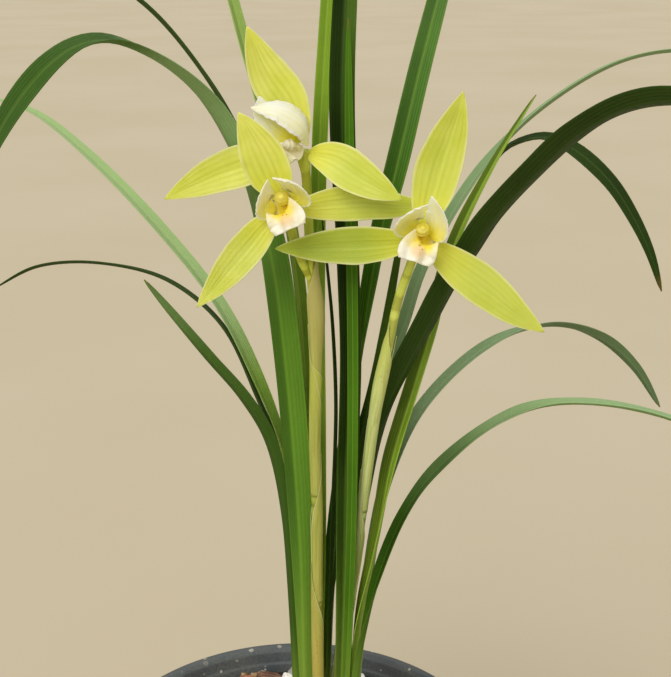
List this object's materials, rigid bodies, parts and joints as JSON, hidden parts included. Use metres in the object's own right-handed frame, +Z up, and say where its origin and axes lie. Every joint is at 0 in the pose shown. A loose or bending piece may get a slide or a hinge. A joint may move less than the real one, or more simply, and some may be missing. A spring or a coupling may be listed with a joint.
{
  "type": "potted orchid",
  "caption": "Clump-forming ground orchid in flower in a round black plastic pot: long folded arching leaves, slim stems and pale yellow-green blooms.",
  "frame": {"origin": "centre of the pot's flat underside, on the surface it stands on", "axes": "+Z up along the pot's axis, -Y towards the front that the blooms face, +X to the right seen from the front"},
  "size_m": [0.2466, 0.1918, 0.3841],
  "materials": {
    "pot_plastic": "matte",
    "potting_mix": "matte",
    "shoot_sheath": "matte",
    "flower_stem": "satin",
    "bloom_column": "satin",
    "bloom_lip": "satin",
    "bloom_petal": "satin",
    "bloom_sepal": "satin",
    "leaf_dark": "satin",
    "leaf_mid": "satin",
    "leaf_bright": "satin",
    "leaf_grey": "satin"
  },
  "bodies": {
    "root": {"pot": "pot_plastic", "shoot_left": "shoot_sheath", "shoot_right": "shoot_sheath", "shoot_back": "shoot_sheath", "stem_left": "flower_stem", "stem_right": "flower_stem", "potting_mix": "potting_mix", "leaf_left_long": "leaf_mid", "leaf_left_thin": "leaf_dark", "leaf_left_bright": "leaf_bright", "leaf_left_pale": "leaf_bright", "leaf_left_low": "leaf_dark", "leaf_left_short": "leaf_mid", "leaf_upright_pale": "leaf_bright", "leaf_upright_thin": "leaf_dark", "leaf_centre_dark": "leaf_dark", "leaf_centre_slim": "leaf_mid", "leaf_right_tall": "leaf_mid", "leaf_right_long": "leaf_dark", "leaf_right_folded": "leaf_bright", "leaf_right_grey": "leaf_grey", "leaf_right_behind": "leaf_dark", "leaf_right_arched": "leaf_grey", "leaf_right_low": "leaf_mid", "leaf_right_slim": "leaf_dark", "bloom_top_sepal_upper": "bloom_sepal", "bloom_top_sepal_right": "bloom_sepal", "bloom_top_sepal_left": "bloom_sepal", "bloom_top_petal_right": "bloom_petal", "bloom_top_petal_left": "bloom_petal", "bloom_top_lip": "bloom_lip", "bloom_top_column": "bloom_column", "bloom_lower_sepal_upper": "bloom_sepal", "bloom_lower_sepal_right": "bloom_sepal", "bloom_lower_sepal_left": "bloom_sepal", "bloom_lower_petal_right": "bloom_petal", "bloom_lower_petal_left": "bloom_petal", "bloom_lower_lip": "bloom_lip", "bloom_lower_column": "bloom_column", "bloom_right_sepal_upper": "bloom_sepal", "bloom_right_sepal_right": "bloom_sepal", "bloom_right_sepal_left": "bloom_sepal", "bloom_right_petal_right": "bloom_petal", "bloom_right_petal_left": "bloom_petal", "bloom_right_lip": "bloom_lip", "bloom_right_column": "bloom_column"}
  },
  "joints": []
}
